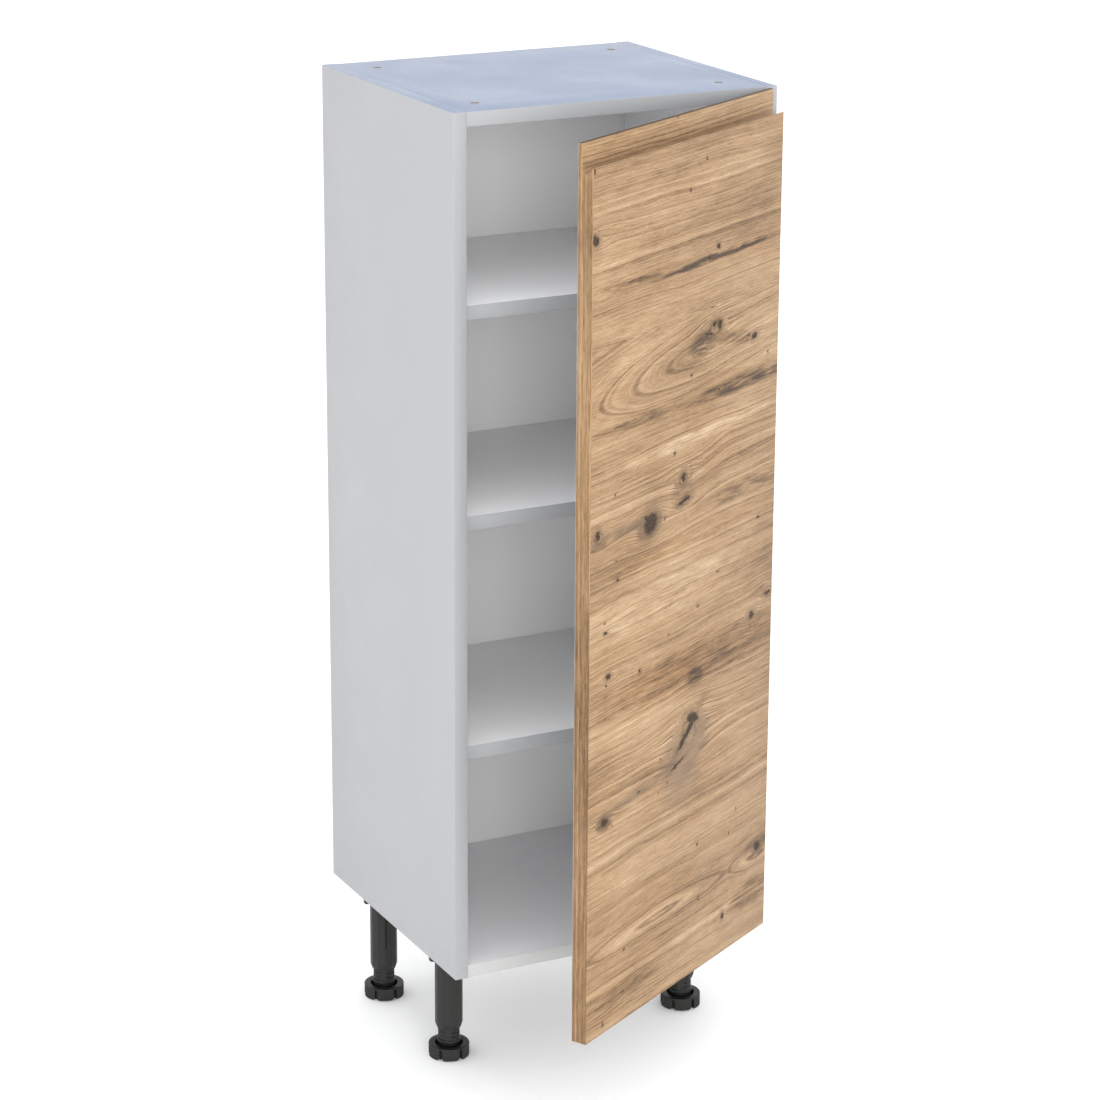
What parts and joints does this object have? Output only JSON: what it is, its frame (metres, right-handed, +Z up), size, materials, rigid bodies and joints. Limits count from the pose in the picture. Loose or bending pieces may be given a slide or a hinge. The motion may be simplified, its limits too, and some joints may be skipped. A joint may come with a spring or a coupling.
{
  "type": "pantry cabinet",
  "caption": "Tall narrow pantry cabinet with shelves, levelling legs and a wood-grain J-pull door swinging on concealed hinges.",
  "frame": {"origin": "floor level, centre of the overall bounding box with the door at its rest angle", "axes": "+X to the right of someone facing the door, +Y to the back, +Z up"},
  "size_m": [0.4, 0.5666, 1.152],
  "materials": {
    "melamine_board": "white melamine facing on chipboard, fine matt texture",
    "back_board": "white lacquered hardboard, matt",
    "oak_veneer": "knotty oak decor with horizontal grain on the front, matt, white back",
    "black_plastic": "moulded, slightly grained",
    "nickel_steel": "nickel plated, satin",
    "zinc_alloy": "die-cast zinc, dull"
  },
  "bodies": {
    "carcass": {"side_panel_left": "melamine_board", "side_panel_right": "melamine_board", "top_panel": "melamine_board", "bottom_panel": "melamine_board", "back_panel": "back_board", "shelf_lower": "melamine_board", "shelf_middle": "melamine_board", "shelf_upper": "melamine_board", "shelf_pin_lower_front_left": "nickel_steel", "shelf_pin_lower_front_right": "nickel_steel", "shelf_pin_lower_back_left": "nickel_steel", "shelf_pin_lower_back_right": "nickel_steel", "shelf_pin_middle_front_left": "nickel_steel", "shelf_pin_middle_front_right": "nickel_steel", "shelf_pin_middle_back_left": "nickel_steel", "shelf_pin_middle_back_right": "nickel_steel", "shelf_pin_upper_front_left": "nickel_steel", "shelf_pin_upper_front_right": "nickel_steel", "shelf_pin_upper_back_left": "nickel_steel", "shelf_pin_upper_back_right": "nickel_steel", "cam_top_front_left": "zinc_alloy", "cam_top_front_right": "zinc_alloy", "cam_top_back_left": "zinc_alloy", "cam_top_back_right": "zinc_alloy", "cam_bottom_front_left": "zinc_alloy", "cam_bottom_front_right": "zinc_alloy", "cam_bottom_back_left": "zinc_alloy", "cam_bottom_back_right": "zinc_alloy", "leg_socket_front_left": "black_plastic", "leg_socket_front_right": "black_plastic", "leg_socket_back_left": "black_plastic", "leg_socket_back_right": "black_plastic", "leg_tube_front_left": "black_plastic", "leg_tube_front_right": "black_plastic", "leg_tube_back_left": "black_plastic", "leg_tube_back_right": "black_plastic", "hinge_plate_lower": "nickel_steel", "hinge_plate_upper": "nickel_steel", "hinge_arm_lower": "nickel_steel", "hinge_arm_upper": "nickel_steel", "hinge_plate_screw_lower_bottom": "zinc_alloy", "hinge_plate_screw_lower_top": "zinc_alloy", "hinge_plate_screw_upper_bottom": "zinc_alloy", "hinge_plate_screw_upper_top": "zinc_alloy"},
    "door": {"door_panel": "oak_veneer", "hinge_cup_lower": "nickel_steel", "hinge_cup_upper": "nickel_steel", "hinge_cup_screw_lower_bottom": "zinc_alloy", "hinge_cup_screw_lower_top": "zinc_alloy", "hinge_cup_screw_upper_bottom": "zinc_alloy", "hinge_cup_screw_upper_top": "zinc_alloy"},
    "link_lower": {"hinge_link_lower": "nickel_steel"},
    "link_upper": {"hinge_link_upper": "nickel_steel"},
    "foot_front_left": {"leg_foot_front_left": "black_plastic"},
    "foot_front_right": {"leg_foot_front_right": "black_plastic"},
    "foot_back_left": {"leg_foot_back_left": "black_plastic"},
    "foot_back_right": {"leg_foot_back_right": "black_plastic"}
  },
  "joints": [
    {"name": "door_swing", "type": "hinge", "parent": "carcass", "child": "door", "pos_m": [0.1936, -0.08648, 0.648], "axis": [0, 0, 1], "range_deg": [-30, 80]},
    {"name": "link_lower_pivot", "type": "hinge", "parent": "door", "child": "link_lower", "pos_m": [0.17715, -0.0812, 0.248], "axis": [0, 0, 1], "range_deg": [-80, 30]},
    {"name": "link_upper_pivot", "type": "hinge", "parent": "door", "child": "link_upper", "pos_m": [0.17715, -0.0812, 1.052], "axis": [0, 0, 1], "range_deg": [-80, 30]},
    {"name": "foot_front_left_height", "type": "slide", "parent": "carcass", "child": "foot_front_left", "axis": [0, 0, -1], "range_m": [-0.012, 0.022]},
    {"name": "foot_front_right_height", "type": "slide", "parent": "carcass", "child": "foot_front_right", "axis": [0, 0, -1], "range_m": [-0.012, 0.022]},
    {"name": "foot_back_left_height", "type": "slide", "parent": "carcass", "child": "foot_back_left", "axis": [0, 0, -1], "range_m": [-0.012, 0.022]},
    {"name": "foot_back_right_height", "type": "slide", "parent": "carcass", "child": "foot_back_right", "axis": [0, 0, -1], "range_m": [-0.012, 0.022]}
  ],
  "couplings": [
    {"joint": "link_lower_pivot", "follows": "door_swing", "ratio": -1},
    {"joint": "link_upper_pivot", "follows": "door_swing", "ratio": -1}
  ]
}
